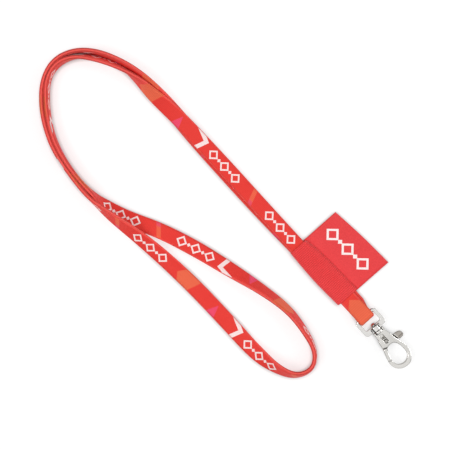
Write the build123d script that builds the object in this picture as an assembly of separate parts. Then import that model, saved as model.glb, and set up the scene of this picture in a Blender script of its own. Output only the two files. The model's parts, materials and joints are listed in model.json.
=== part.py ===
"""Lanyard: a printed neck strap, a sewn sleeve with a flag label, and a swivel snap hook.

Millimetres. X runs along the sleeve towards the hook's tip, Y towards the flag label, Z up.
The origin is the middle of the sleeve's underside, on the surface that everything lies on.
"""
import math
import os

from build123d import *

# ---- strap -------------------------------------------------------------------------------
STRAP_W = 9.8            # width of the woven strap
STRAP_T = 1.5            # its thickness
STATION = 6.0            # spacing of the strap's cross sections along its route

# ---- sleeve and label --------------------------------------------------------------------
SLEEVE_L = 42.2          # along X
SLEEVE_H = 4.6           # over both straps
SLEEVE_WALL = 0.6
FOLDED_EDGE = ((-24.0, -7.1), (0.0, -7.8), (24.0, -7.0))
SEAM_EDGE = ((-24.0, 4.6), (-13.6, 7.8), (1.2, 9.5), (12.3, 9.5), (24.0, 7.9))
SEAM_DEPTH = 1.3         # how far the label is sewn into the seam
LABEL_T = 0.8
LABEL_BASE_Z = SLEEVE_WALL + 0.05
LABEL_OUTER = ((22.4, 32.8), (0.5, 31.6), (-21.4, 29.7))
LABEL_INNER_X = (-21.8, 21.7)
THREAD_R = 0.2
SEAM_STITCHES = 13
SEAM_INSET = 0.7         # of the stitches from the seam edge
TACK_ROWS_X = (-18.5, -6.5, 12.0)
TACK_STITCHES = 5
TACK_Y = (-3.9, 2.5)

# ---- tab that holds the hook ---------------------------------------------------------------
TAB_W = 10.4             # pressed a little wider than the strap
TAB_Y = 0.1
PLY_Z = (0.65, 2.25)     # undersides of the lower and the upper ply inside the sleeve
PLY_END_X = (-9.5, -14.5)

# ---- swivel eye ------------------------------------------------------------------------------
HOOK_Y = 0.4             # the swivel axis runs along X at this Y
HOOK_Z = 3.8             # and at this height
EYE_BAR_X = 36.5         # round bar inside the tab's fold
EYE_BAR_R = 1.2
FOLD_GAP = 0.3           # between the bar and the strap round it
FOLD_X = 36.7            # centre of the fold
EYE_SLOT_W = 11.2
EYE_OUTER_W = 15.6
EYE_CORNER_R = 2.0       # outside, and half of that inside
EYE_FOOT = (43.9, 47.0)  # the crossbar that carries the swivel
EYE_T = 2.4
BOSS_R = 3.55
BOSS_END_X = 47.5
RIVET_R = 1.2
RIVET_BORE_R = 1.28
RIVET_HEAD_R = 2.15
RIVET_HEAD_X = 42.4
RIVET_END_X = 50.0

# ---- hook, in plan about the swivel axis -----------------------------------------------------
COLLAR_R = 3.75
COLLAR = (47.7, 49.4)
BODY_T = 5.4             # thickness at the shoulders
RING_T = 3.0             # thickness of the ring
RAMP_X = (56.9, 59.0)    # where the one thins down to the other
OUTER_RIGHT = [
    (49.3, 3.5), (53.5, 4.1), (57.2, 4.9), (60.5, 5.8), (64.0, 6.5),
    (67.5, 6.7), (71.0, 5.8), (73.6, 3.6), (75.2, -0.4),
]
OUTER_LEFT = [
    (75.2, -0.4), (74.4, -4.2), (72.4, -6.8), (69.6, -8.1), (66.6, -8.1),
    (63.0, -7.1), (58.5, -5.6), (53.5, -4.3), (49.3, -3.5),
]
HOLE = [
    (58.8, 0.2), (59.8, 2.4), (62.6, 3.8), (66.4, 4.2), (69.6, 3.8), (71.7, 1.9),
    (72.5, -0.7), (71.8, -3.5), (69.9, -5.3), (67.0, -5.8), (63.2, -4.8), (60.0, -3.3),
]
PIVOT = (55.7, -0.6)
PIN_R = 0.6
PIN_FIT = 0.06           # between the pin and the lever's bore
PIN_FOOT_Z = -2.2        # heights about the swivel axis
PIN_TOP_Z = 2.6
PIN_HEAD_R = 0.9
PIN_HEAD_T = 0.35
GATE_R = 12.2            # from the pivot to the gate's round tip
HEEL = [(57.9, -10.0), (58.3, -4.6), (59.8, -2.0)]
GATE_GAP = 0.18          # joint lines at the gate's two ends
LEVER_T = 1.6
LEVER_GAP = 0.12         # each side of the lever in its slot
LEVER_SLOT = [
    (53.0, -8.0), (53.0, 8.0), (60.6, 8.0), (60.4, 3.6), (59.2, 1.4), (61.0, -1.0), (61.0, -8.0),
]
KNOB_ARM = [(54.1, 0.2), (56.0, 6.0), (59.5, 6.8), (58.2, 3.0), (57.4, 0.0)]
GATE_ARM = [
    (54.8, -2.2), (57.3, 0.3), (59.2, -1.6), (60.4, -3.2), (60.6, -5.3), (58.8, -4.9),
]
HUB_R = 1.9
KNOB_T = 3.2
KNOB = [
    (55.6, 5.1), (56.2, 8.6), (57.0, 9.8), (58.0, 10.1), (59.2, 10.0),
    (60.0, 9.2), (60.1, 7.2), (59.9, 6.15),
]
RECESS = (50.4, 57.0)
RECESS_W = 2.3
SPRING_R = 0.85
SPRING_WIRE_R = 0.16
SPRING_TURNS = 2.5

# The strap's route, from inside the sleeve all the way round and back into it:
# x, y and z of the middle of the strap, and its roll in degrees. At roll 0 the printed
# face is up, at -90 the strap stands on edge, and at -180 the printed face is down.
ROUTE = [
    (-15.0, -1.2, 3.0, 0),
    (-30.0, -1.3, 2.95, 0),
    (-54.0, -1.3, 2.7, 0),
    (-84.0, -1.2, 2.7, 0),
    (-112.0, -1.5, 2.9, -5),
    (-131.0, -2.2, 4.1, -18),
    (-147.0, -3.9, 4.9, -42),
    (-161.0, -4.7, 5.1, -70),
    (-174.0, -7.6, 5.1, -86),
    (-186.0, -14.0, 5.1, -90),
    (-195.2, -22.3, 5.1, -90),
    (-199.3, -32.5, 5.1, -90),
    (-197.4, -42.5, 5.1, -90),
    (-190.5, -50.5, 5.1, -90),
    (-180.5, -58.5, 5.1, -90),
    (-168.5, -65.2, 5.1, -90),
    (-154.0, -68.8, 5.1, -90),
    (-139.0, -70.2, 5.1, -90),
    (-128.0, -69.2, 5.2, -84),
    (-121.0, -69.0, 4.4, -40),
    (-114.0, -69.8, 1.4, -2),
    (-102.0, -65.0, 1.0, -3),
    (-84.0, -55.4, 2.3, -16),
    (-62.0, -47.2, 1.8, -6),
    (-38.0, -40.2, 3.6, -32),
    (-17.0, -34.2, 4.8, -60),
    (2.0, -30.6, 5.0, -70),
    (17.0, -31.7, 5.1, -76),
    (31.4, -35.0, 5.1, -84),
    (38.8, -43.4, 5.1, -80),
    (35.4, -54.2, 5.1, -74),
    (24.0, -60.0, 4.7, -58),
    (8.0, -62.8, 2.4, -15),
    (-16.0, -62.7, 1.1, 0),
    (-44.0, -63.2, 1.0, 0),
    (-68.0, -64.8, 2.1, -14),
    (-88.0, -67.2, 4.6, -34),
    (-104.0, -70.2, 7.6, -54),
    (-114.5, -72.0, 8.4, -70),
    (-125.0, -74.2, 6.4, -88),
    (-138.0, -74.2, 5.2, -84),
    (-160.0, -71.6, 5.1, -86),
    (-174.6, -66.2, 5.1, -90),
    (-188.0, -58.4, 5.1, -90),
    (-198.8, -47.4, 5.1, -90),
    (-203.2, -33.8, 5.1, -90),
    (-199.2, -20.6, 5.1, -90),
    (-189.2, -11.0, 5.1, -92),
    (-175.0, -4.9, 5.1, -98),
    (-160.0, -1.8, 5.0, -118),
    (-145.0, -1.2, 4.0, -138),
    (-128.0, -1.8, 1.9, -169),
    (-108.0, -2.2, 1.0, -178),
    (-82.0, -2.4, 0.9, -180),
    (-54.0, -2.3, 0.9, -180),
    (-28.0, -1.7, 1.4, -180),
    (-10.0, -1.5, 1.4, -180),
]


def box(x, y, z):
    """A box from its (low, high) pairs."""
    middle = [(low + high) / 2 for low, high in (x, y, z)]
    return Pos(*middle) * Box(x[1] - x[0], y[1] - y[0], z[1] - z[0])


def rod(radius, start, end):
    """A round rod between two points."""
    start, end = Vector(*start), Vector(*end)
    axis = end - start
    plane = Plane(origin=start, z_dir=axis)
    return plane * Cylinder(radius, axis.length, align=(Align.CENTER, Align.CENTER, Align.MIN))


def prism(outline, low, high):
    """A flat face or sketch in XY, drawn out from height low to height high."""
    return Pos(0, 0, low) * extrude(outline, amount=high - low)


# ---- neck strap --------------------------------------------------------------------------
def corner_radius(before, corner, after):
    """The largest arc that the two runs beside a corner leave room for."""
    turn = (corner - before).get_angle(after - corner)
    run = min((corner - before).length, (after - corner).length)
    return 0.45 * run / math.tan(math.radians(turn / 2))


def strap_path():
    points = [Vector(x, y, z) for x, y, z, roll in ROUTE]
    radii = [corner_radius(*three) for three in zip(points, points[1:], points[2:])]
    print("strap radii, mm:", [round(radius) for radius in radii])
    return FilletPolyline(points, radius=radii)


def roll_along(fraction):
    """The strap's roll at a fraction of its length, in radians."""
    points = [Vector(x, y, z) for x, y, z, roll in ROUTE]
    marks = [0.0]
    for start, end in zip(points, points[1:]):
        marks.append(marks[-1] + (end - start).length)
    place = fraction * marks[-1]
    index = max(i for i in range(len(marks) - 1) if marks[i] <= place)
    part = (place - marks[index]) / (marks[index + 1] - marks[index])
    roll = ROUTE[index][3] + part * (ROUTE[index + 1][3] - ROUTE[index][3])
    return math.radians(roll)


def strap_section(path, fraction):
    centre = path.position_at(fraction)
    along = path.tangent_at(fraction)
    left = Vector(0, 0, 1).cross(along).normalized()
    up = along.cross(left)
    roll = roll_along(fraction)
    across = (left * math.cos(roll) + up * math.sin(roll)) * (STRAP_W / 2)
    through = (up * math.cos(roll) - left * math.sin(roll)) * (STRAP_T / 2)
    corners = [
        centre + across + through,
        centre - across + through,
        centre - across - through,
        centre + across - through,
    ]
    return Wire.make_polygon(corners, close=True)


def neck_strap():
    path = strap_path()
    count = round(path.length / STATION)
    sections = [strap_section(path, i / count) for i in range(count + 1)]
    strap = Solid.make_loft(sections, ruled=True)
    print("strap length, mm:", round(path.length, 1))
    print("volume over section x length:", round(strap.volume / (STRAP_W * STRAP_T * path.length), 3))
    return strap


# ---- sleeve, label and their thread ----------------------------------------------------------
def seam_y(x):
    """The sleeve's bulging seam edge."""
    for (x0, y0), (x1, y1) in zip(SEAM_EDGE, SEAM_EDGE[1:]):
        if x <= x1:
            return y0 + (x - x0) / (x1 - x0) * (y1 - y0)
    return SEAM_EDGE[-1][1]


def sleeve_level(folded_inset, seam_inset, z):
    """The sleeve in plan at one height, drawn in from its two long edges."""
    points = [Vector(x, y + folded_inset, z) for x, y in FOLDED_EDGE]
    points += [Vector(x, y - seam_inset, z) for x, y in reversed(SEAM_EDGE)]
    return Wire.make_polygon(points, close=True)


def label_outline(inset):
    """The label in plan, reaching inset past the seam edge into the sleeve."""
    left, right = LABEL_INNER_X
    inner = [left] + [x for x, y in SEAM_EDGE[1:-1]] + [right]
    points = [(x, seam_y(x) - inset) for x in inner]
    points += LABEL_OUTER
    return make_face(Polyline(*points, close=True))


def flag_label():
    return prism(label_outline(SEAM_DEPTH - 0.1), LABEL_BASE_Z, LABEL_BASE_Z + LABEL_T)


def sleeve_wrap():
    levels = [
        sleeve_level(0.5, 0.3, 0),
        sleeve_level(0, 0, 0.6),
        sleeve_level(0, 0, 1.9),
        sleeve_level(0, 0.8, 2.2),
        sleeve_level(0.1, 1.1, 3.8),
        sleeve_level(1.0, 2.3, SLEEVE_H),
    ]
    body = Solid.make_loft(levels, ruled=True)
    half = SLEEVE_L / 2
    body &= box((-half, half), (-20, 20), (-1, 10))
    top = SLEEVE_H - SLEEVE_WALL
    cavity = Solid.make_loft([
        sleeve_level(0.5, 1.5, SLEEVE_WALL),
        sleeve_level(0.5, 1.5, top - 0.2),
        sleeve_level(0.9, 2.0, top),
    ], ruled=True)
    body -= cavity
    body -= prism(label_outline(SEAM_DEPTH + 0.4), SLEEVE_WALL, SLEEVE_WALL + LABEL_T + 0.1)
    return body


def sleeve_seam():
    """Thread that goes down through the seam and the label, one solid for each stitch."""
    pitch = SLEEVE_L / SEAM_STITCHES
    stitches = []
    for i in range(SEAM_STITCHES):
        x = -SLEEVE_L / 2 + (i + 0.5) * pitch
        y = seam_y(x) - SEAM_INSET
        stitches.append(rod(THREAD_R, (x, y, 0.2), (x, y, 1.9)))
    return Compound(stitches)


def strap_bar_tack():
    """Thread through the sleeve, the butted strap ends and the tab, hidden in the sleeve."""
    stitches = []
    low, high = TACK_Y
    for x in TACK_ROWS_X:
        for i in range(TACK_STITCHES):
            y = low + i * (high - low) / (TACK_STITCHES - 1)
            stitches.append(rod(THREAD_R, (x, y, 0.3), (x, y, SLEEVE_H - 0.3)))
    return Compound(stitches)


# ---- tab -------------------------------------------------------------------------------------
def hook_tab():
    inner_r = EYE_BAR_R + FOLD_GAP
    outer_r = inner_r + STRAP_T
    low, high = PLY_Z
    mouth = SLEEVE_L / 2 + 0.4
    outer_low = (FOLD_X, HOOK_Z - outer_r)
    outer_high = (FOLD_X, HOOK_Z + outer_r)
    inner_low = (FOLD_X, HOOK_Z - inner_r)
    inner_high = (FOLD_X, HOOK_Z + inner_r)
    outline = [
        Polyline((PLY_END_X[0], low), (mouth, low), outer_low),
        ThreePointArc(outer_low, (FOLD_X + outer_r, HOOK_Z), outer_high),
        Polyline(outer_high, (mouth, high + STRAP_T), (PLY_END_X[1], high + STRAP_T)),
        Polyline((PLY_END_X[1], high + STRAP_T), (PLY_END_X[1], high), (mouth, high), inner_high),
        ThreePointArc(inner_high, (FOLD_X + inner_r, HOOK_Z), inner_low),
        Polyline(inner_low, (mouth, low + STRAP_T), (PLY_END_X[0], low + STRAP_T)),
        Line((PLY_END_X[0], low + STRAP_T), (PLY_END_X[0], low)),
    ]
    profile = make_face([edge for line in outline for edge in line.edges()])
    return Pos(0, TAB_Y + TAB_W / 2, 0) * (Plane.XZ * extrude(profile, amount=TAB_W))


# ---- swivel eye and rivet ------------------------------------------------------------------
def swivel_eye():
    top = EYE_BAR_X - EYE_BAR_R
    foot = EYE_FOOT[1]
    half = EYE_OUTER_W / 2
    middle = ((top + foot) / 2, HOOK_Y)
    frame = Pos(*middle) * RectangleRounded(foot - top, 2 * half, EYE_CORNER_R)
    slot_x = (EYE_BAR_X - 2, EYE_FOOT[0])
    slot_middle = ((slot_x[0] + slot_x[1]) / 2, HOOK_Y)
    slot = Pos(*slot_middle) * RectangleRounded(slot_x[1] - slot_x[0], EYE_SLOT_W, EYE_CORNER_R / 2)
    arms = prism(frame - slot, HOOK_Z - EYE_T / 2, HOOK_Z + EYE_T / 2)
    keep = box((EYE_BAR_X, foot + 1), (-20, 20), (0, 10))
    reach = half - EYE_CORNER_R
    bar = rod(EYE_BAR_R, (EYE_BAR_X, HOOK_Y - reach, HOOK_Z), (EYE_BAR_X, HOOK_Y + reach, HOOK_Z))
    for side in (-1, 1):
        bar += Pos(EYE_BAR_X, HOOK_Y + side * reach, HOOK_Z) * Sphere(EYE_BAR_R)
    eye = (arms & keep) + bar
    eye += rod(BOSS_R, (EYE_FOOT[0] + 0.6, HOOK_Y, HOOK_Z), (BOSS_END_X, HOOK_Y, HOOK_Z))
    eye -= rod(RIVET_BORE_R, (EYE_FOOT[0] - 1, HOOK_Y, HOOK_Z), (BOSS_END_X + 1, HOOK_Y, HOOK_Z))
    return eye


def swivel_rivet():
    head_end = EYE_FOOT[0] - 0.08
    rise = head_end - RIVET_HEAD_X
    dome_r = (rise ** 2 + RIVET_HEAD_R ** 2) / (2 * rise)
    dome = Pos(RIVET_HEAD_X + dome_r, 0, 0) * Sphere(dome_r)
    head = dome & box((RIVET_HEAD_X - 1, head_end), (-5, 5), (-5, 5))
    rivet = head + rod(RIVET_R, (head_end - 0.3, 0, 0), (RIVET_END_X, 0, 0))
    return Pos(0, HOOK_Y, HOOK_Z) * rivet


# ---- hook ------------------------------------------------------------------------------------
def outer_outline():
    """The hook in plan, without its knob."""
    right = Spline(*OUTER_RIGHT, tangents=((1, 0.1), (0, -1)))
    left = Spline(*OUTER_LEFT, tangents=((0, -1), (-1, 0.1)))
    return make_face(right.edges() + left.edges() + Line(OUTER_LEFT[-1], OUTER_RIGHT[0]).edges())


def hole_outline():
    """The egg-shaped opening of the ring."""
    return make_face(Spline(*HOLE, periodic=True).edges())


def gate_outline(gap):
    """The stretch of the ring that the gate closes, wider by gap at its two joint lines."""
    heel = [(x - gap, y) for x, y in HEEL]
    side = make_face(Polyline(*heel, (70, -2), (70, -10), close=True))
    reach = Pos(*PIVOT) * Circle(GATE_R + gap)
    return (outer_outline() - hole_outline()) & side & reach


def lever_slot():
    """Room for the lever's thin web, open on both sides of the hook."""
    return make_face(Polyline(*LEVER_SLOT, close=True))


def at_axis(shape):
    return Pos(0, HOOK_Y, HOOK_Z) * shape


def shoulders():
    """The thick part of the hook, with a slope down to the ring on both faces."""
    start, end = RAMP_X
    side = make_face(Polyline(
        (40, -BODY_T / 2), (start, -BODY_T / 2), (end, -RING_T / 2),
        (end, RING_T / 2), (start, BODY_T / 2), (40, BODY_T / 2), close=True))
    block = Pos(0, 10, 0) * (Plane.XZ * extrude(side, amount=20))
    return block & prism(outer_outline() - hole_outline(), -BODY_T, BODY_T)


def hook_body():
    body = prism(outer_outline() - hole_outline(), -RING_T / 2, RING_T / 2)
    body += shoulders()
    body += rod(COLLAR_R, (COLLAR[0], 0, 0), (COLLAR[1], 0, 0))
    body -= prism(gate_outline(GATE_GAP), -BODY_T, BODY_T)
    web = LEVER_T / 2 + LEVER_GAP
    body -= prism(lever_slot() & outer_outline(), -web, web)
    recess_middle = ((RECESS[0] + RECESS[1]) / 2, PIVOT[1])
    recess = Pos(*recess_middle) * SlotOverall(RECESS[1] - RECESS[0], RECESS_W)
    body -= prism(recess, 0, BODY_T)
    body -= rod(RIVET_R, (COLLAR[0] - 1, 0, 0), (RIVET_END_X, 0, 0))
    body -= rod(PIN_R, (*PIVOT, PIN_FOOT_Z), (*PIVOT, 0))
    return at_axis(body)


def gate_lever():
    gate = prism(gate_outline(0), -RING_T / 2 + 0.1, RING_T / 2 - 0.1)
    to_knob = make_face(Polyline(*KNOB_ARM, close=True))
    to_gate = make_face(Polyline(*GATE_ARM, close=True))
    hub = Pos(*PIVOT) * Circle(HUB_R)
    web = prism(to_knob + to_gate + hub, -LEVER_T / 2, LEVER_T / 2)
    web -= prism(hole_outline(), -LEVER_T, LEVER_T)
    knob = prism(make_face(Polyline(*KNOB, close=True)), -KNOB_T / 2, KNOB_T / 2)
    lever = gate + web + knob
    lever -= rod(PIN_R + PIN_FIT, (*PIVOT, -3), (*PIVOT, 3))
    return at_axis(lever)


def gate_pin():
    pin = rod(PIN_R, (*PIVOT, PIN_FOOT_Z), (*PIVOT, PIN_TOP_Z))
    return at_axis(pin + rod(PIN_HEAD_R, (*PIVOT, PIN_TOP_Z - PIN_HEAD_T), (*PIVOT, PIN_TOP_Z)))


def gate_spring():
    pitch = 2 * SPRING_WIRE_R + 0.03
    base = LEVER_T / 2 + SPRING_WIRE_R + 0.1
    helix = Helix(pitch, pitch * SPRING_TURNS, SPRING_R, center=(*PIVOT, base))
    section = Plane(origin=helix @ 0, z_dir=helix % 0) * Circle(SPRING_WIRE_R)
    return at_axis(sweep(section, path=helix))


parts = {
    "neck_strap": neck_strap(),
    "hook_tab": hook_tab(),
    "sleeve_wrap": sleeve_wrap(),
    "flag_label": flag_label(),
    "sleeve_seam": sleeve_seam(),
    "strap_bar_tack": strap_bar_tack(),
    "swivel_eye": swivel_eye(),
    "swivel_rivet": swivel_rivet(),
    "hook_body": hook_body(),
    "gate_lever": gate_lever(),
    "gate_pin": gate_pin(),
    "gate_spring": gate_spring(),
}

os.makedirs("parts", exist_ok=True)
for name, shape in parts.items():
    export_step(shape, f"parts/{name}.step")
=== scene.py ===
"""A printed lanyard lying in a loop: ribbed sleeve, flag label, folded tab and swivel snap hook."""
import json
import math

import bpy
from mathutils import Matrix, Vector, noise


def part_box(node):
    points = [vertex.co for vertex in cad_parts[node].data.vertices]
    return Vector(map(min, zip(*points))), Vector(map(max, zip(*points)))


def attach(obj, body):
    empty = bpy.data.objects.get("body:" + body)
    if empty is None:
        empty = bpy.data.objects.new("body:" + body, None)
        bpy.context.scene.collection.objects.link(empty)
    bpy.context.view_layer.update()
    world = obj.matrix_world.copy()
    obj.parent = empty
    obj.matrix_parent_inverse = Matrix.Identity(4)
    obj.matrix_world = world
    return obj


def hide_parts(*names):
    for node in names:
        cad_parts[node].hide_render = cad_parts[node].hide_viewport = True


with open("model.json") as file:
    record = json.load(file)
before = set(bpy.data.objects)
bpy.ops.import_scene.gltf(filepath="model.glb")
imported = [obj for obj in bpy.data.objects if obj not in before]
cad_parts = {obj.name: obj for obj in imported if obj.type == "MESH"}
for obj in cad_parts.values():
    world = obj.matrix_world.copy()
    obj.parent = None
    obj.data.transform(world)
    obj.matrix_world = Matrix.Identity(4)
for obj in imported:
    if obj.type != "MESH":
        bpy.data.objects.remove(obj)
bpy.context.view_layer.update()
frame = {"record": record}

MM = 0.001

# ---- strap and tab, in metres --------------------------------------------------------------------
STRAP_WIDTH = 9.8 * MM
STRAP_THICK = 1.55 * MM
LOOSE_THICK = 2.4 * MM   # where it stands on edge and its weave opens
FLOOR_GAP = 0.05 * MM    # nothing of a band lies lower than this
PLY_STEP = 1.6 * MM      # how far the tab's upper ply lies above its lower one in the sleeve
PLY_SHIFT = 1.7 * MM     # how far aside the lower ply lies, so that its edge shows

# The strap's route: x, y and z in metres, and the roll of the strap in degrees.
ROUTE = [
    (-0.0150, -0.0012, 0.0030, 0),
    (-0.0300, -0.0013, 0.00295, 0),
    (-0.0540, -0.0013, 0.0027, 0),
    (-0.0840, -0.0012, 0.0027, 0),
    (-0.1120, -0.0015, 0.0029, -5),
    (-0.1310, -0.0022, 0.0041, -18),
    (-0.1470, -0.0039, 0.0049, -42),
    (-0.1610, -0.0047, 0.0051, -80),
    (-0.1740, -0.0076, 0.0051, -108),
    (-0.1860, -0.0140, 0.0051, -112),
    (-0.1952, -0.0223, 0.0051, -98),
    (-0.1993, -0.0325, 0.0051, -90),
    (-0.1974, -0.0425, 0.0051, -90),
    (-0.1905, -0.0505, 0.0051, -90),
    (-0.1805, -0.0585, 0.0051, -90),
    (-0.1685, -0.0652, 0.0051, -91),
    (-0.1540, -0.0694, 0.0051, -92),
    (-0.1390, -0.0711, 0.0051, -92),
    (-0.1280, -0.0705, 0.0051, -88),
    (-0.1210, -0.0702, 0.0047, -68),
    (-0.1140, -0.0696, 0.0027, -26),
    (-0.1020, -0.0650, 0.0016, -12),
    (-0.0840, -0.0554, 0.0023, -16),
    (-0.0620, -0.0472, 0.0018, -6),
    (-0.0380, -0.0402, 0.0036, -32),
    (-0.0170, -0.0342, 0.0048, -60),
    (0.0020, -0.0306, 0.0050, -70),
    (0.0170, -0.0317, 0.0051, -76),
    (0.0314, -0.0350, 0.0051, -84),
    (0.0388, -0.0434, 0.0051, -80),
    (0.0354, -0.0542, 0.0051, -74),
    (0.0240, -0.0600, 0.0047, -58),
    (0.0080, -0.0628, 0.0024, -15),
    (-0.0160, -0.0627, 0.0011, 0),
    (-0.0440, -0.0632, 0.0010, 0),
    (-0.0680, -0.0648, 0.0021, -14),
    (-0.0880, -0.0672, 0.0046, -34),
    (-0.1040, -0.0702, 0.0076, -54),
    (-0.1145, -0.0720, 0.0084, -70),
    (-0.1250, -0.0735, 0.0064, -88),
    (-0.1380, -0.0736, 0.0052, -85),
    (-0.1600, -0.0709, 0.0051, -86),
    (-0.1745, -0.0654, 0.0051, -85),
    (-0.1872, -0.0576, 0.0051, -85),
    (-0.1979, -0.0467, 0.0051, -85),
    (-0.2024, -0.0338, 0.0051, -84),
    (-0.1986, -0.0210, 0.0051, -85),
    (-0.1888, -0.0114, 0.0051, -92),
    (-0.1748, -0.0050, 0.0051, -102),
    (-0.1600, -0.0018, 0.0050, -118),
    (-0.1450, -0.0012, 0.0040, -138),
    (-0.1280, -0.0018, 0.0019, -169),
    (-0.1080, -0.0026, 0.0010, -178),
    (-0.0820, -0.0028, 0.0009, -180),
    (-0.0540, -0.0028, 0.0009, -180),
    (-0.0280, -0.0021, 0.0012, -180),
    (-0.0100, -0.0015, 0.0014, -180),
]

# ---- prints, in millimetres ----------------------------------------------------------------------
# Places on the strap's print are measured from a chevron's point, back towards the strap's start.
PRINT_PERIOD = 141.8
PRINT_END = 85.5         # where one period ends and the next begins
APEX_AT = 88.6           # where the first chevron's point is, from the strap's start
CHEVRON_BAR = (-2.6, 0.5)       # its back and front edges
ORANGE_PATCH = (-53.6, -40.0)   # its pointed and its slanted end
TRIANGLE_AT = -21.5
ORNAMENTS_AT = (7.5, 57.0)
STRIPE_AT = 42.0
STRIPE_HALF = 1.4
STRIPE_REACH = 4.4       # how far from the strap's middle the stripe reaches
WHITE_REACH = 4.7        # how far from the middle the white print reaches
BACK_MARGIN = 1.2        # how much less far it reaches on the back
# The strap's lighter edges are a painted highlight.
EDGE_HIGHLIGHT_FROM = 4.3      # how far from the middle the strap's lighter edges start
STRAP_MARK = (9.6, 2.9, 0.95)   # the diamonds' step, reach and stroke
LABEL_MARK = (12.6, 4.0, 1.3)
BACK_MARK = 20.0         # how far across the back's layout is shifted, which marks it as the back
BACK_OFFSET = 50.0       # how far along it is shifted, which sets its print off from the front's
TAB_PATCH_AT = 22.5      # x of the tab's orange patch
TAB_PATCH_PRINT = 54     # how far past a chevron's point, along the strap, that patch starts
TAB_PRINT = 0.78         # the strap's print, stretched on the tab

# ---- sleeve and label, in millimetres ------------------------------------------------------------
# The sleeve's two long edges and the label's outer edge, in plan.
FOLDED_EDGE = [(-24.0, -7.0), (0.0, -7.8), (24.0, -6.9)]
SEAM_EDGE = [(-24.0, 4.4), (-13.6, 6.4), (1.2, 7.3), (12.3, 7.7), (24.0, 8.2)]
LABEL_OUTER = [(-21.4, 29.7), (0.5, 31.7), (22.4, 32.8)]
LABEL_SIDES = (-21.8, 21.9)     # where its two sides leave the seam
LABEL_SEWN_IN = 1.2
HEM_ENDS = (20.9, 11.4)  # where the label's darker hem starts, along and outwards
SLEEVE_HALF = 21.1       # half its length
RIB_PITCH = 1.12
RIB_HEIGHT = 0.12
SEAM_STITCHES = 21
STITCH_HALF = 0.62       # half a stitch's length
STITCH_RADIUS = 0.16
STITCH_INSET = 0.55      # from the sleeve's seam edge
SEAM_WALL = 1.5          # the wall's thickness at the seam

# ---- hook, in metres -----------------------------------------------------------------------------
GATE_TIP_R = 12.2 * MM   # from the gate's pivot to its round tip
SHOULDER_HALF = 2.7 * MM  # half the thickness of its shoulders
RING_HALF = 1.5 * MM     # half the thickness of its ring
CORE_HALF = 1.0 * MM     # half the middle layer, which keeps the CAD's shape
SLOPE_X = (56.9 * MM, 59.0 * MM)  # where the CAD hook thins down
TAPER_X = (53.5 * MM, 67.0 * MM)  # where this one does
WIRE_RADIUS = 0.16 * MM  # of the gate's spring

# ---- camera and light, in metres -----------------------------------------------------------------
CAMERA_PLACE = (-0.0604, -0.0246, 0.640)
CAMERA_TURN = 47.6       # degrees about its own axis
CAMERA_LENS = 85
FLOOR_SIZE = 6
FLOOR_GREY = 0.38
FLOOR_GLOW = 0.66
# The floor's glow dims into a painted contact shadow round things.
CONTACT_REACH = 2.5 * MM  # how far round a thing the floor's glow dims
LOOP_CENTRE = (-0.06, -0.025, 0)
KEY_PLACE = (-0.35, -0.65, 0.9)
KEY_SIZE = 0.6
KEY_POWER = 4.2
FILL_PLACE = (0.7, 1.1, 0.8)
FILL_SIZE = 0.9
FILL_POWER = 9.0
# How bright the room is from the floor's level to straight up: height, grey.
ROOM_GREYS = ((0.03, 0.3), (0.1, 0.03), (0.46, 0.06), (0.68, 1.0))
ROOM_STRENGTH = 0.74
KEY_SIDE_GAIN = 0.3      # how much stronger the room is on the key light's side


# ---- small helpers -------------------------------------------------------------------------------
def linear(red, green, blue):
    """A colour given as 0 to 255 screen values, as linear light with alpha."""
    def channel(value):
        value /= 255
        return value / 12.92 if value <= 0.04045 else ((value + 0.055) / 1.055) ** 2.4
    return (channel(red), channel(green), channel(blue), 1.0)


def lerp(a, b, share):
    return a + (b - a) * share


def clamp(value, low=0.0):
    return min(1.0, max(low, value))


def ease(share):
    """A share from 0 to 1, with a soft start and a soft end."""
    return share * share * (3 - 2 * share)


def distances(line):
    """How far along a line each of its points is."""
    marks = [0.0]
    for a, b in zip(line, line[1:]):
        marks.append(marks[-1] + (b - a).length)
    return marks


def heading(line, i):
    """The direction of a line at its point i."""
    return (line[min(i + 1, len(line) - 1)] - line[max(i - 1, 0)]).normalized()


def smooth_curve(points, at):
    """A smooth y for any x, through given (x, y) points."""
    count = len(points)
    i = max(k for k in range(count - 1) if k == 0 or points[k][0] <= at)
    (x0, y0), (x1, y1) = points[i], points[i + 1]
    before = points[max(i - 1, 0)]
    after = points[min(i + 2, count - 1)]
    slope0 = (y1 - before[1]) / (x1 - before[0])
    slope1 = (after[1] - y0) / (after[0] - x0)
    t = (at - x0) / (x1 - x0)
    span = x1 - x0
    return (
        (2 * t ** 3 - 3 * t ** 2 + 1) * y0
        + (t ** 3 - 2 * t ** 2 + t) * span * slope0
        + (3 * t ** 2 - 2 * t ** 3) * y1
        + (t ** 3 - t ** 2) * span * slope1
    )


def joint_place(name):
    """Where a joint's axis is."""
    joints = frame["record"]["behaviour"]["joints"]
    return [joint["pos_m"] for joint in joints if joint["name"] == name][0]


def shade_smooth(mesh):
    mesh.polygons.foreach_set("use_smooth", [True] * len(mesh.polygons))


def link_object(name, data):
    thing = bpy.data.objects.new(name, data)
    bpy.context.scene.collection.objects.link(thing)
    return thing


def add_mesh(name, verts, faces, uvs=None):
    """A mesh object; uvs holds a (u, v) for each vertex, or a list of them for each face."""
    mesh = bpy.data.meshes.new(name)
    mesh.from_pydata(verts, [], faces)
    if uvs:
        layer = mesh.uv_layers.new(name="weave")
        for face in mesh.polygons:
            for corner, loop in enumerate(face.loop_indices):
                if isinstance(uvs[0], list):
                    layer.data[loop].uv = uvs[face.index][corner]
                else:
                    layer.data[loop].uv = uvs[mesh.loops[loop].vertex_index]
    shade_smooth(mesh)
    mesh.update()
    return link_object(name, mesh)


def set_material(piece, material):
    piece.data.materials.clear()
    piece.data.materials.append(material)


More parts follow.
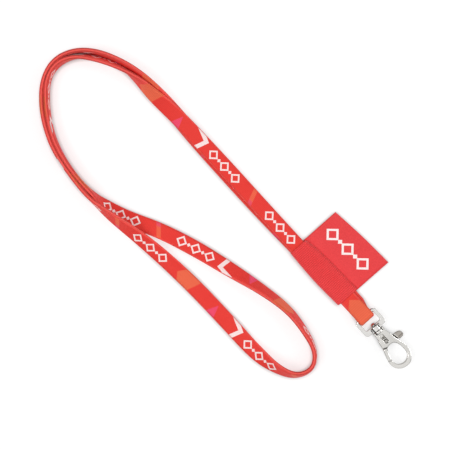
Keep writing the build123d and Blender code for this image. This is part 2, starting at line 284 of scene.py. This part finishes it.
# ---- node graphs ---------------------------------------------------------------------------------
class Field:
    """A number that varies over a surface: a node socket with ordinary arithmetic."""

    def __init__(self, tree, socket):
        self.tree = tree
        self.socket = socket

    def do(self, operation, *others):
        node = self.tree.nodes.new("ShaderNodeMath")
        node.operation = operation
        self.tree.links.new(self.socket, node.inputs[0])
        for slot, other in enumerate(others, start=1):
            if isinstance(other, Field):
                self.tree.links.new(other.socket, node.inputs[slot])
            else:
                node.inputs[slot].default_value = other
        return Field(self.tree, node.outputs[0])

    def __add__(self, other):
        return self.do("ADD", other)

    def __sub__(self, other):
        return self.do("SUBTRACT", other)

    def __mul__(self, other):
        return self.do("MULTIPLY", other)

    def size(self):
        return self.do("ABSOLUTE")

    def wrap(self, low, high):
        return self.do("WRAP", high, low)

    def waves(self, pitch):
        """A sine that repeats every pitch."""
        return (self * (2 * math.pi / pitch)).do("SINE")

    def both(self, other):
        return self.do("MINIMUM", other)

    def either(self, other):
        return self.do("MAXIMUM", other)

    def below(self, limit, blur=0.12):
        """1 where the field is under limit, 0 above it, with a narrow blurred edge."""
        scaled = (self - limit) * (-1 / blur) + 0.5
        node = scaled.do("MULTIPLY", 1.0)
        node.socket.node.use_clamp = True
        return node

    def above(self, limit, blur=0.12):
        return (self * -1).below(-limit, blur)

    def band(self, middle, width, blur=0.12):
        return (self - middle).size().below(width / 2, blur)


def new_material(name, settings):
    """A material, its node tree and its shader, whose inputs are set from their names."""
    material = bpy.data.materials.new(name)
    material.use_nodes = True
    shader = material.node_tree.nodes["Principled BSDF"]
    for setting, value in settings.items():
        shader.inputs[setting].default_value = value
    return material, material.node_tree, shader


def uv_fields(tree):
    """Across and along, in millimetres, from the piece's own layout."""
    uv = tree.nodes.new("ShaderNodeUVMap")
    uv.uv_map = "weave"
    split = tree.nodes.new("ShaderNodeSeparateXYZ")
    tree.links.new(uv.outputs[0], split.inputs[0])
    across = Field(tree, split.outputs["X"]) * 1000
    along = Field(tree, split.outputs["Y"]) * 1000
    return across, along


def noise_field(tree, scale, detail, stretch=None):
    node = tree.nodes.new("ShaderNodeTexNoise")
    node.inputs["Scale"].default_value = scale
    node.inputs["Detail"].default_value = detail
    vector = tree.nodes.new("ShaderNodeTexCoord").outputs["Object"]
    if stretch:
        mapping = tree.nodes.new("ShaderNodeMapping")
        mapping.inputs["Scale"].default_value = stretch
        tree.links.new(vector, mapping.inputs[0])
        vector = mapping.outputs[0]
    tree.links.new(vector, node.inputs["Vector"])
    return Field(tree, node.outputs["Fac"])


def blend_colours(tree, share, first, second):
    """first where share is 0 and second where it is 1; each a colour or a socket."""
    node = tree.nodes.new("ShaderNodeMix")
    node.data_type = "RGBA"
    tree.links.new(share.socket, node.inputs["Factor"])
    for name, colour in (("A", first), ("B", second)):
        socket = [s for s in node.inputs if s.name == name and s.type == "RGBA"][0]
        if isinstance(colour, tuple):
            socket.default_value = colour
        else:
            tree.links.new(colour, socket)
    return [s for s in node.outputs if s.type == "RGBA"][0]


def add_bump(tree, shader, height, distance, strength=1.0):
    bump = tree.nodes.new("ShaderNodeBump")
    bump.inputs["Distance"].default_value = distance
    bump.inputs["Strength"].default_value = strength
    tree.links.new(height.socket, bump.inputs["Height"])
    tree.links.new(bump.outputs[0], shader.inputs["Normal"])


# ---- prints and materials ------------------------------------------------------------------------
def diamond(q, x, middle):
    """How far out a place is in a square that stands on its corner at the middle."""
    return (q - middle).size() + x.size()


def ornament(q, x, start, step, reach, stroke):
    """Three open diamonds in a row, with a small solid diamond in each gap."""
    slanted_stroke = stroke * 1.41
    solid_reach = reach * 0.42
    mark = diamond(q, x, start).band(reach, slanted_stroke)
    for i in (1, 2):
        middle = start + i * step
        mark = mark.either(diamond(q, x, middle).band(reach, slanted_stroke))
        mark = mark.either(diamond(q, x, middle - step / 2).below(solid_reach))
    return mark


def bent(q, x, long_slope, short_slope):
    """q, bent back on both sides of x = 0."""
    return q + (x * long_slope).either(x * short_slope)


def chevron(q, x):
    """A bent bar whose point lies off the strap's middle, with a short and a long arm."""
    back_edge, front_edge = CHEVRON_BAR
    front = bent(q, x + 2.9, long_slope=0.33, short_slope=-2.5)
    back = bent(q, x + 1.5, long_slope=0.33, short_slope=-2.6)
    return front.below(front_edge).both(back.above(back_edge))


def strap_material():
    settings = {
        "Roughness": 0.62, "Specular IOR Level": 0.18, "Sheen Weight": 0.04, "Sheen Roughness": 0.5,
    }
    material, tree, shader = new_material("strap_print", settings)
    across, along = uv_fields(tree)
    on_back = across.above(BACK_MARK / 2)
    x = across.wrap(-BACK_MARK / 2, BACK_MARK / 2)
    q = (along * -1 + APEX_AT).wrap(PRINT_END - PRINT_PERIOD, PRINT_END)
    patchy = noise_field(tree, 60, 3)
    colour = blend_colours(tree, patchy, linear(231, 53, 46), linear(236, 66, 57))
    # Painted highlight: the strap's edges are painted a lighter red.
    edge_highlight = x.size().above(EDGE_HIGHLIGHT_FROM, 0.5)
    colour = blend_colours(tree, edge_highlight, colour, linear(250, 92, 84))
    pointed_end = (q + x.size() * -0.75).above(ORANGE_PATCH[0])
    slanted_end = (q + x * 0.35).below(ORANGE_PATCH[1])
    colour = blend_colours(tree, pointed_end.both(slanted_end), colour, linear(238, 104, 72))
    stripe = (q - STRIPE_AT - x * 0.42).size().below(STRIPE_HALF).both(x.size().below(STRIPE_REACH))
    stripe_colour = blend_colours(tree, x.above(2.0, 1.2), linear(240, 100, 70), linear(236, 80, 100))
    colour = blend_colours(tree, stripe, colour, stripe_colour)
    triangle = ((q - TRIANGLE_AT).size() + x * -0.42).below(1.2)
    colour = blend_colours(tree, triangle, colour, linear(240, 74, 108))
    white = chevron(q, x)
    for start in ORNAMENTS_AT:
        white = white.either(ornament(q, x, start, *STRAP_MARK))
    off_edges = (x.size() + on_back * BACK_MARGIN).below(WHITE_REACH, 0.3)
    colour = blend_colours(tree, white.both(off_edges), colour, linear(252, 230, 228))
    ribs = along.waves(0.9)
    # Painted shade: the ribs are also drawn in the colour as faint dark lines; their relief is the
    # bump below.
    colour = blend_colours(tree, ribs * 0.06 + 0.06, colour, linear(140, 6, 8))
    tree.links.new(colour, shader.inputs["Base Color"])
    warp = x.waves(0.55)
    grain = noise_field(tree, 1800, 2)
    height = ribs * 0.5 + ribs * warp * 0.25 + grain * 0.6
    add_bump(tree, shader, height, 0.07 * MM, 0.8)
    return material


def sleeve_material():
    settings = {
        "Roughness": 0.7, "Specular IOR Level": 0.3, "Sheen Weight": 0.2, "Sheen Roughness": 0.5,
    }
    material, tree, shader = new_material("sleeve_ribbing", settings)
    across, along = uv_fields(tree)
    rib = along.waves(RIB_PITCH)
    patchy = noise_field(tree, 90, 4)
    colour = blend_colours(tree, patchy, linear(233, 54, 56), linear(240, 70, 71))
    # Painted shade: the grooves between the ribs are painted a darker red.
    groove_shade = rib.below(-0.3, 0.9)
    colour = blend_colours(tree, groove_shade * 0.5, colour, linear(192, 26, 34))
    tree.links.new(colour, shader.inputs["Base Color"])
    yarns = across.waves(0.45)
    grain = noise_field(tree, 2200, 2)
    add_bump(tree, shader, yarns * 0.5 + grain * 0.8, 0.06 * MM, 0.8)
    return material


def label_material():
    settings = {"Roughness": 0.58, "Specular IOR Level": 0.25, "Sheen Weight": 0.08}
    material, tree, shader = new_material("label_satin", settings)
    y, x = uv_fields(tree)
    patchy = noise_field(tree, 70, 4)
    colour = blend_colours(tree, patchy, linear(230, 58, 61), linear(235, 71, 73))
    speckle = noise_field(tree, 1300, 3)
    colour = blend_colours(tree, speckle.above(0.52, 0.3) * 0.35, colour, linear(206, 40, 46))
    mark = ornament(x, y, -LABEL_MARK[0], *LABEL_MARK)
    colour = blend_colours(tree, mark, colour, linear(250, 236, 234))
    hem = x.size().above(HEM_ENDS[0], 0.3).either(y.above(HEM_ENDS[1], 0.3))
    colour = blend_colours(tree, hem * 0.25, colour, linear(200, 30, 36))
    tree.links.new(colour, shader.inputs["Base Color"])
    weave = x.waves(0.5) * y.waves(0.5)
    grain = noise_field(tree, 2500, 2)
    add_bump(tree, shader, weave * 0.5 + grain * 0.9, 0.05 * MM, 0.8)
    return material


def thread_material():
    material, tree, shader = new_material("thread", {"Roughness": 0.6})
    patchy = noise_field(tree, 900, 2)
    colour = blend_colours(tree, patchy, linear(190, 30, 34), linear(214, 48, 50))
    tree.links.new(colour, shader.inputs["Base Color"])
    twist = noise_field(tree, 1500, 2, stretch=(3, 1, 1))
    add_bump(tree, shader, twist, 0.05 * MM)
    return material


def metal_material(name, low, high, roughness, knob_shade_from=None):
    """Plated metal: faintly uneven, finely scratched, with painted shade darkening its corners.

    Past the Y given by the last argument, in millimetres, the colour is painted a darker grey as
    painted shade on the gate's knob.
    """
    settings = {"Metallic": 1.0, "Specular Tint": (0.45, 0.44, 0.43, 1)}
    material, tree, shader = new_material(name, settings)
    cloud = noise_field(tree, 220, 3)
    colour = blend_colours(tree, cloud, low, high)
    # Painted shade: the colour turns dark grey in corners and crevices, where the surface is hemmed
    # in.
    corner = tree.nodes.new("ShaderNodeAmbientOcclusion")
    corner.inputs["Distance"].default_value = 0.9 * MM
    corner.samples = 16
    crevice_shade = Field(tree, corner.outputs["AO"]).below(0.55, 0.6)
    colour = blend_colours(tree, crevice_shade * 0.8, colour, linear(92, 86, 80))
    # Painted shade: past the given Y the gate's knob is painted a darker grey.
    if knob_shade_from is not None:
        place = tree.nodes.new("ShaderNodeTexCoord")
        split = tree.nodes.new("ShaderNodeSeparateXYZ")
        tree.links.new(place.outputs["Object"], split.inputs[0])
        knob_shade = (Field(tree, split.outputs["Y"]) * 1000).above(knob_shade_from, 0.6)
        colour = blend_colours(tree, knob_shade, colour, linear(176, 170, 163))
    tree.links.new(colour, shader.inputs["Base Color"])
    scratches = noise_field(tree, 500, 2, stretch=(0.25, 1.6, 1.0))
    rough = scratches * 0.08 + (roughness - 0.04)
    tree.links.new(rough.socket, shader.inputs["Roughness"])
    orange_peel = noise_field(tree, 260, 1)
    add_bump(tree, shader, orange_peel, 0.02 * MM, 0.2)
    return material


# ---- strap ---------------------------------------------------------------------------------------
def nurbs_line(name, points):
    """Points along a smooth spline that has the given points as its control points."""
    data = bpy.data.curves.new(name, "CURVE")
    data.dimensions = "3D"
    data.resolution_u = 12
    spline = data.splines.new("NURBS")
    spline.points.add(len(points) - 1)
    for point, place in zip(spline.points, points):
        point.co = (*place, 1.0)
    spline.order_u = 3
    spline.use_endpoint_u = True
    holder = link_object(name, data)
    mesh = bpy.data.meshes.new_from_object(holder)
    line = [vertex.co.copy() for vertex in mesh.vertices]
    bpy.data.objects.remove(holder)
    bpy.data.meshes.remove(mesh)
    return line


def band_profile(width):
    """The closed outline of a woven band: (across, through) pairs."""
    columns, corner = 10, 4
    radius = STRAP_THICK / 2
    edge_bulge = radius * 0.7
    reach = width / 2 - edge_bulge
    top = [(lerp(reach, -reach, i / columns), radius) for i in range(columns + 1)]
    outline = list(top)
    for side in (-1, 1):
        for i in range(1, corner):
            angle = math.pi * i / corner
            across = side * (reach + edge_bulge * math.sin(angle))
            outline.append((across, side * radius * math.cos(angle)))
        if side == -1:
            outline += [(-x, -z) for x, z in top]
    return outline


def lay_band(name, line, wides, normals, starts, profile, swell=None, back=(0.0, 0.0)):
    """Draws a band's outline along a line; starts holds each place's distance along its layout.

    swell holds how many times thicker it is at each place, and back how far the layout of its
    back is shifted, across and along.
    """
    swell = swell or [1.0] * len(line)
    verts, faces, uvs = [], [], []
    count = len(profile)
    left_handed = wides[0].cross(normals[0]).dot(line[1] - line[0]) > 0
    for centre, wide, normal, thicker in zip(line, wides, normals, swell):
        for across, through in profile:
            place = centre + wide * across + normal * through * thicker
            place.z = max(place.z, FLOOR_GAP)
            verts.append(place)
    for i in range(len(line) - 1):
        for k in range(count):
            n = (k + 1) % count
            a, b = i * count, (i + 1) * count
            faces.append((a + k, b + k, b + n, a + n))
            on_back = profile[k][1] + profile[n][1] < -0.1 * STRAP_THICK
            aside, ahead = back if on_back else (0.0, 0.0)
            near, far = starts[i] + ahead, starts[i + 1] + ahead
            here, there = profile[k][0] + aside, profile[n][0] + aside
            uvs.append([(here, near), (here, far), (there, far), (there, near)])
    for end in (0, len(line) - 1):
        cap = [end * count + k for k in range(count)]
        faces.append(tuple(cap if end == 0 else reversed(cap)))
        uvs.append([(0.0, starts[end])] * count)
    if left_handed:
        faces = [face[::-1] for face in faces]
        uvs = [corners[::-1] for corners in uvs]
    return add_mesh(name, verts, faces, uvs)


def make_strap():
    """The printed strap, along its route from the sleeve round the loop and back."""
    line = nurbs_line("strap_line", [point[:3] for point in ROUTE])
    rolls = nurbs_line("strap_roll", [(roll * MM, 0, 0) for x, y, z, roll in ROUTE])
    wides, normals, swell = [], [], []
    for i in range(len(line)):
        along = heading(line, i)
        left = Vector((0, 0, 1)).cross(along).normalized()
        up = along.cross(left)
        roll = math.radians(rolls[i].x / MM)
        wides.append(left * math.cos(roll) + up * math.sin(roll))
        normals.append(up * math.cos(roll) - left * math.sin(roll))
        swell.append(lerp(1.0, LOOSE_THICK / STRAP_THICK, math.sin(roll) ** 2))
    marks = distances(line)
    profile = band_profile(STRAP_WIDTH)
    back = (BACK_MARK * MM, BACK_OFFSET * MM)
    strap = lay_band("neck_band", line, wides, normals, marks, profile, swell, back)
    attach(strap, "strap")
    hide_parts("neck_strap")
    return strap


# ---- tab -----------------------------------------------------------------------------------------
def make_tab():
    """A band that goes out on top, round the swivel eye's bar, and back underneath."""
    low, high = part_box("hook_tab")
    bar_low, bar_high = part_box("swivel_eye")
    middle_y = (low[1] + high[1]) / 2
    axis_z = (bar_low[2] + bar_high[2]) / 2
    outer = high[2] - axis_z
    radius = outer - STRAP_THICK / 2
    fold_x = high[0] - outer
    mouth = (SLEEVE_HALF + 0.4) * MM
    shift_from, shift_over = fold_x - 2.5 * MM, 6 * MM
    lower, upper = low[2] + STRAP_THICK / 2, low[2] + PLY_STEP + STRAP_THICK / 2
    steps, fold_steps = 16, 24
    shares = [i / steps for i in range(1, steps)]
    path = [(low[0], upper), (mouth, upper)]
    for share in shares:
        path.append((lerp(mouth, fold_x, share), lerp(upper, axis_z + radius, ease(share))))
    for i in range(fold_steps + 1):
        angle = math.pi * (0.5 - i / fold_steps)
        path.append((fold_x + radius * math.cos(angle), axis_z + radius * math.sin(angle)))
    for share in shares:
        path.append((lerp(fold_x, mouth, share), lerp(axis_z - radius, lower, ease(share))))
    path += [(mouth, lower), (low[0], lower)]
    bend = len(path) // 2
    line = []
    for i, (x, z) in enumerate(path):
        on_lower_ply = bend < i < len(path) - 1
        off_fold = clamp((shift_from - x) / shift_over)
        line.append(Vector((x, middle_y + PLY_SHIFT * on_lower_ply * off_fold, z)))
    wide = Vector((0, 1, 0))
    wides = [wide] * len(line)
    normals = [heading(line, i).cross(wide).normalized() * -1 for i in range(len(line))]
    patch = (APEX_AT + TAB_PATCH_PRINT) * MM + (TAB_PATCH_AT * MM - line[0].x) * TAB_PRINT
    starts = [patch - mark * TAB_PRINT for mark in distances(line)]
    profile = band_profile(high[1] - low[1])
    tab = lay_band("hook_tab_band", line, wides, normals, starts, profile)
    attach(tab, "strap")
    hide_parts("hook_tab")
    return tab


# ---- sleeve --------------------------------------------------------------------------------------
def sleeve_outline(x, inside):
    """The sleeve's section at x: corner points (y, z) of its outside, or of its inside."""
    fold = smooth_curve(FOLDED_EDGE, x)
    seam = smooth_curve(SEAM_EDGE, x)
    if inside:
        seam -= SEAM_WALL
        return [
            (fold + 0.6, 0.6), (fold + 0.5, 1.4), (fold + 0.5, 3.0), (fold + 0.9, 3.9),
            (3.75, 3.85), (lerp(3.75, seam, 0.6), 2.9), (seam, 2.0), (seam, 0.6),
        ]
    return [
        (fold + 0.7, 0.05), (fold, 0.9), (fold, 3.2), (fold + 0.9, 4.5), (fold + 4.5, 4.75),
        (2.2, 4.65), (4.1, 4.35), (lerp(4.1, seam, 0.55), 3.6), (seam - 0.4, 2.85),
        (seam + 0.05, 2.2), (seam + 0.1, 1.6), (seam + 0.05, 0.9), (seam - 0.4, 0.1),
    ]


def rounded_ring(corners, count):
    """Evenly spaced points round a closed outline whose corners are cut three times over."""
    points = [Vector(corner) for corner in corners]
    for _ in range(3):
        cut = []
        for a, b in zip(points, points[1:] + points[:1]):
            cut += [a.lerp(b, 0.25), a.lerp(b, 0.75)]
        points = cut
    loop = points + points[:1]
    marks = distances(loop)
    ring, k = [], 0
    for i in range(count):
        goal = marks[-1] * i / count
        while marks[k + 1] < goal:
            k += 1
        share = (goal - marks[k]) / max(marks[k + 1] - marks[k], 1e-9)
        ring.append((loop[k].lerp(loop[k + 1], share), goal))
    return ring


def make_sleeve():
    """A ribbed band wrapped round both straps, with its ribs across."""
    rings, around = 340, 96
    middle_y, middle_z, flatness = 0.8, 2.3, 2.5
    waviness, lowest = 0.32, 0.02
    uneven_end, uneven_from, uneven_span = 0.5, 18, 3.1
    verts, uvs, faces = [], [], []
    for inside in (False, True):
        for i in range(rings + 1):
            x = lerp(-SLEEVE_HALF, SLEEVE_HALF, i / rings)
            for place, distance in rounded_ring(sleeve_outline(x, inside), around):
                y, z = place
                wave = noise.noise(Vector((x * 0.12, distance * 0.22, 3.0))) * waviness
                rib = math.sin(2 * math.pi * (x + wave) / RIB_PITCH)
                raise_by = 0 if inside else RIB_HEIGHT * rib
                outwards = Vector((y - middle_y, (z - middle_z) * flatness)).normalized()
                lift = outwards * raise_by
                end = uneven_end * noise.noise(Vector((distance * 0.15, 0.0, 7.0)))
                shift = end * max(0, abs(x) - uneven_from) / uneven_span
                verts.append(Vector((x + shift, y + lift.x, max(z + lift.y, lowest))) * MM)
                uvs.append((distance * MM, (x + wave) * MM))
    half = (rings + 1) * around
    for base, flip in ((0, True), (half, False)):
        for i in range(rings):
            for k in range(around):
                n = (k + 1) % around
                a, b = base + i * around, base + (i + 1) * around
                quad = (a + k, b + k, b + n, a + n)
                faces.append(quad if flip else quad[::-1])
    for ring, flip in ((0, True), (rings, False)):
        for k in range(around):
            n = (k + 1) % around
            a = ring * around
            quad = (a + k, a + n, half + a + n, half + a + k)
            faces.append(quad if flip else quad[::-1])
    sleeve = add_mesh("sleeve_band", verts, faces, uvs)
    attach(sleeve, "strap")
    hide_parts("sleeve_wrap")
    return sleeve


def make_seam():
    """The row of stitches that closes the sleeve over the label."""
    sides, steps = 8, 6
    top, end_gap, sink = 2.8, 1.4, 0.25
    verts, faces = [], []
    for k in range(SEAM_STITCHES):
        middle = lerp(end_gap - SLEEVE_HALF, SLEEVE_HALF - end_gap, k / (SEAM_STITCHES - 1))
        base = len(verts)
        for i in range(steps + 1):
            off_middle = 2 * (i / steps) - 1
            x = middle + STITCH_HALF * off_middle
            y = smooth_curve(SEAM_EDGE, x) - STITCH_INSET
            z = top - sink * off_middle ** 2
            radius = STITCH_RADIUS * math.sqrt(max(0.05, 1 - off_middle ** 4))
            for j in range(sides):
                angle = 2 * math.pi * j / sides
                place = (x, y + radius * math.cos(angle), z + radius * math.sin(angle))
                verts.append(Vector(place) * MM)
        for i in range(steps):
            for j in range(sides):
                n = (j + 1) % sides
                a, b = base + i * sides, base + (i + 1) * sides
                faces.append((a + n, b + n, b + j, a + j))
        faces.append(tuple(base + j for j in reversed(range(sides))))
        faces.append(tuple(base + steps * sides + j for j in range(sides)))
    seam = add_mesh("seam_stitches", verts, faces)
    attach(seam, "strap")
    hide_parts("sleeve_seam")
    return seam


# ---- label ---------------------------------------------------------------------------------------
def label_height(across, out):
    """How high the label's middle lies, in mm; across and out run 0 to 1."""
    at_seam, lowest = 1.05, 0.45
    bow_height, lift_height, ripple_height = 0.5, 0.25, 0.22
    bow = bow_height * math.sin(math.pi * across) * out
    lift = lift_height * out ** 2 * (1 - 0.55 * across)
    ripple = ripple_height * noise.noise(Vector((across * 2.2, out * 1.6, 1.0)))
    return max(at_seam + bow + lift + ripple * out, lowest)


def make_label():
    """The flag: a thin cloth, thinner still at its three free edges."""
    columns, rows = 110, 76
    half_thick, edge_share, edge_width, lowest = 0.34, 0.35, 0.6, 0.03
    shown_length, shown_depth = 43.5, 24
    print_middle, print_slant = 20.0, 0.055
    verts, uvs, faces = [], [], []
    for side in (1, -1):
        for j in range(rows + 1):
            out = j / rows
            for i in range(columns + 1):
                across = i / columns
                x_in = lerp(*LABEL_SIDES, across)
                x_out = lerp(LABEL_OUTER[0][0], LABEL_OUTER[-1][0], across)
                y_in = smooth_curve(SEAM_EDGE, x_in) - LABEL_SEWN_IN
                y_out = smooth_curve(LABEL_OUTER, x_out)
                x, y = lerp(x_in, x_out, out), lerp(y_in, y_out, out)
                from_edge = min(min(across, 1 - across) * shown_length, (1 - out) * shown_depth)
                thin = min(1.0, edge_share + from_edge / edge_width)
                z = label_height(across, out) + side * half_thick * thin
                verts.append(Vector((x, y, max(z, lowest))) * MM)
                uvs.append(((y - print_middle - print_slant * x) * MM, x * MM))
    width = columns + 1
    half = width * (rows + 1)
    for base, flip in ((0, False), (half, True)):
        for j in range(rows):
            for i in range(columns):
                a = base + j * width + i
                quad = (a, a + 1, a + 1 + width, a + width)
                faces.append(quad[::-1] if flip else quad)
    rim = list(range(width))
    rim += [j * width + columns for j in range(1, rows + 1)]
    rim += [rows * width + i for i in range(columns - 1, -1, -1)]
    rim += [j * width for j in range(rows - 1, 0, -1)]
    for a, b in zip(rim, rim[1:] + rim[:1]):
        faces.append((b, a, half + a, half + b))
    label = add_mesh("flag_label_cloth", verts, faces, uvs)
    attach(label, "strap")
    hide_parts("flag_label")
    return label


# ---- metal ---------------------------------------------------------------------------------------
def apply_modifiers(piece):
    """Gives a piece the mesh that its modifiers make, and removes them."""
    graph = bpy.context.evaluated_depsgraph_get()
    shape = bpy.data.meshes.new_from_object(piece.evaluated_get(graph))
    piece.modifiers.clear()
    piece.data = shape


def soften(piece, rounds, share_at):
    """Rounds a piece's edges off, by a share from 0 to 1 that depends on the place."""
    group = piece.vertex_groups.new(name="softness")
    for vertex in piece.data.vertices:
        group.add([vertex.index], share_at(vertex.co), "REPLACE")
    smooth = piece.modifiers.new("soften", "SMOOTH")
    smooth.factor = 0.5
    smooth.iterations = rounds
    smooth.vertex_group = group.name
    apply_modifiers(piece)
    piece.vertex_groups.clear()


def half_thickness(x):
    """Of this hook, which thins down evenly from its shoulders to the ring."""
    share = clamp((x - TAPER_X[0]) / (TAPER_X[1] - TAPER_X[0]))
    return lerp(SHOULDER_HALF, RING_HALF, ease(share))


def plain_half_thickness(x):
    """Of the CAD hook, which has a short straight slope instead."""
    share = clamp((x - SLOPE_X[0]) / (SLOPE_X[1] - SLOPE_X[0]))
    return lerp(SHOULDER_HALF, RING_HALF, share)


def reshape(piece, crown):
    """Gives a hook piece its even taper, and a slight crown across its faces.

    The core that holds the gate's slot and the gate's lever stays as it is.
    """
    half_width = 6 * MM
    axis_y, axis_z = joint_place("hook_swivel")[1:]
    for vertex in piece.data.vertices:
        x, y, z = vertex.co
        height = abs(z - axis_z)
        if height > CORE_HALF:
            side = min(1.0, abs(y - axis_y) / half_width)
            wanted = half_thickness(x) * (1 - crown * side * side) - CORE_HALF
            given = plain_half_thickness(x) - CORE_HALF
            height = CORE_HALF + (height - CORE_HALF) * wanted / given
            vertex.co.z = axis_z + math.copysign(height, z - axis_z)


def cast_copy(node, name, body, voxel, rounds, share_at=lambda place: 1.0, crown=None):
    """A CAD node's shape with its edges rounded, as on a plated casting."""
    piece = link_object(name, bpy.data.objects[node].data.copy())
    remesh = piece.modifiers.new("remesh", "REMESH")
    remesh.mode = "VOXEL"
    remesh.voxel_size = voxel
    apply_modifiers(piece)
    if crown is not None:
        reshape(piece, crown)
    soften(piece, rounds, share_at)
    shade_smooth(piece.data)
    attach(piece, body)
    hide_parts(node)
    return piece


def ring_softness(place):
    """The ring is round in section; the shoulders and the gate's joint line stay crisper."""
    shoulder_softness, joint_softness = 0.2, 0.12
    joint_reach, rounding_from, rounding_over = 0.7 * MM, -2.5 * MM, 3 * MM
    pivot = joint_place("gate_open")
    off_tip = abs((Vector(place[:2]) - Vector(pivot[:2])).length - GATE_TIP_R)
    on_gate_side = place[1] < pivot[1] - 2 * MM
    if on_gate_side and off_tip < joint_reach:
        return joint_softness
    return clamp((place[0] - pivot[0] - rounding_from) / rounding_over, shoulder_softness)


def make_spring():
    """The gate's torsion spring: a coil round the pin and a leg that presses on the hook."""
    low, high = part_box("gate_spring")
    middle = [(a + b) / 2 for a, b in zip(low, high)]
    radius = (high[0] - low[0]) / 2 - WIRE_RADIUS
    data = bpy.data.curves.new("spring_wire", "CURVE")
    data.dimensions = "3D"
    data.bevel_depth = WIRE_RADIUS
    data.bevel_resolution = 3
    data.use_fill_caps = True
    spline = data.splines.new("POLY")
    turns, steps = 2.5, 80
    places = []
    for i in range(steps + 1):
        angle = 2 * math.pi * turns * i / steps
        x = middle[0] + radius * math.cos(angle)
        y = middle[1] + radius * math.sin(angle)
        places.append((x, y, lerp(low[2] + WIRE_RADIUS, high[2] - WIRE_RADIUS, i / steps)))
    leg = (-2.0 * MM, 0.5 * MM)
    places.append((places[-1][0] + leg[0], places[-1][1] + leg[1], places[-1][2]))
    spline.points.add(len(places) - 1)
    for point, place in zip(spline.points, places):
        point.co = (*place, 1.0)
    wire = link_object("spring_wire", data)
    mesh = bpy.data.meshes.new_from_object(wire)
    bpy.data.objects.remove(wire)
    shade_smooth(mesh)
    spring = link_object("gate_spring_wire", mesh)
    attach(spring, "hook")
    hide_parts("gate_spring")
    return spring


# ---- stage ---------------------------------------------------------------------------------------
def make_camera():
    """Straight down on the middle of the loop, turned so that the strap runs corner to corner."""
    data = bpy.data.cameras.new("camera")
    data.lens = CAMERA_LENS
    data.sensor_width = 36
    camera = link_object("camera", data)
    camera.location = CAMERA_PLACE
    camera.rotation_euler = (0, 0, math.radians(CAMERA_TURN))
    bpy.context.scene.camera = camera


def add_light(name, place, size, power):
    """A round soft light that shines on the middle of the loop."""
    data = bpy.data.lights.new(name, "AREA")
    data.shape = "DISK"
    data.size = size
    data.energy = power
    light = link_object(name, data)
    light.location = place
    aim = Vector(LOOP_CENTRE) - Vector(place)
    light.rotation_euler = aim.to_track_quat("-Z", "Y").to_euler()


def make_world():
    """A white studio ceiling over dark walls that are paler at their very foot."""
    world = bpy.data.worlds.new("studio")
    world.use_nodes = True
    tree = world.node_tree
    split = tree.nodes.new("ShaderNodeSeparateXYZ")
    place = tree.nodes.new("ShaderNodeTexCoord")
    tree.links.new(place.outputs["Generated"], split.inputs[0])
    ramp = tree.nodes.new("ShaderNodeValToRGB")
    tree.links.new(split.outputs["Z"], ramp.inputs[0])
    stops = ramp.color_ramp.elements
    for _ in range(len(ROOM_GREYS) - 2):
        stops.new(0.5)
    for stop, (height, grey) in zip(stops, ROOM_GREYS):
        stop.position = height
        stop.color = (grey, grey, grey, 1)
    towards_key = tree.nodes.new("ShaderNodeVectorMath")
    towards_key.operation = "DOT_PRODUCT"
    towards_key.inputs[1].default_value = Vector(KEY_PLACE).normalized()
    tree.links.new(place.outputs["Generated"], towards_key.inputs[0])
    strength = Field(tree, towards_key.outputs["Value"]) * KEY_SIDE_GAIN + ROOM_STRENGTH
    background = tree.nodes["Background"]
    tree.links.new(ramp.outputs[0], background.inputs["Color"])
    tree.links.new(strength.socket, background.inputs["Strength"])
    bpy.context.scene.world = world


def make_stage():
    """A floor that glows, dimmed into a painted contact shadow where something lies close above it,
    and two soft lights.
    """
    bpy.ops.mesh.primitive_plane_add(size=FLOOR_SIZE, location=(0, 0, 0))
    floor = bpy.context.object
    floor.name = "floor"
    settings = {
        "Base Color": (FLOOR_GREY, FLOOR_GREY, FLOOR_GREY, 1), "Roughness": 0.9,
        "Specular IOR Level": 0.1, "Emission Color": (1, 1, 1, 1),
    }
    material, tree, shader = new_material("pale_floor", settings)
    # Painted shadow: the floor's glow dims where something lies close above it.
    openness = tree.nodes.new("ShaderNodeAmbientOcclusion")
    openness.inputs["Distance"].default_value = CONTACT_REACH
    glow = Field(tree, openness.outputs["AO"]).do("POWER", 1.2) * FLOOR_GLOW
    tree.links.new(glow.socket, shader.inputs["Emission Strength"])
    set_material(floor, material)
    make_world()
    add_light("key", KEY_PLACE, KEY_SIZE, KEY_POWER)
    add_light("fill", FILL_PLACE, FILL_SIZE, FILL_POWER)
    bpy.context.scene.view_settings.view_transform = "Standard"


# ---- build ---------------------------------------------------------------------------------------
make_camera()
make_stage()

print_cloth = strap_material()
bright = metal_material("bright_nickel", linear(222, 220, 217), linear(234, 232, 229), 0.12)
grey_nickel = metal_material("hook_nickel", linear(214, 212, 208), linear(230, 228, 224), 0.15)
# The gate's knob gets painted shade.
gate_nickel = metal_material("gate_nickel", linear(214, 212, 208), linear(230, 228, 224), 0.15,
                             knob_shade_from=6.4)
small_steel = metal_material("small_steel", linear(160, 157, 152), linear(190, 187, 182), 0.3)
thread = thread_material()

set_material(make_strap(), print_cloth)
set_material(make_tab(), print_cloth)
set_material(make_sleeve(), sleeve_material())
set_material(make_label(), label_material())
eye = cast_copy("swivel_eye", "eye_casting", "eye", voxel=0.12 * MM, rounds=14)
hook = cast_copy("hook_body", "hook_casting", "hook", voxel=0.12 * MM, rounds=90,
                 share_at=ring_softness, crown=0.16)
gate = cast_copy("gate_lever", "gate_casting", "gate", voxel=0.11 * MM, rounds=60,
                 share_at=ring_softness, crown=0.0)
set_material(eye, bright)
set_material(hook, grey_nickel)
set_material(gate, gate_nickel)
set_material(make_spring(), small_steel)
set_material(bpy.data.objects["swivel_rivet"], bright)
set_material(bpy.data.objects["gate_pin"], small_steel)
set_material(make_seam(), thread)
set_material(bpy.data.objects["strap_bar_tack"], thread)
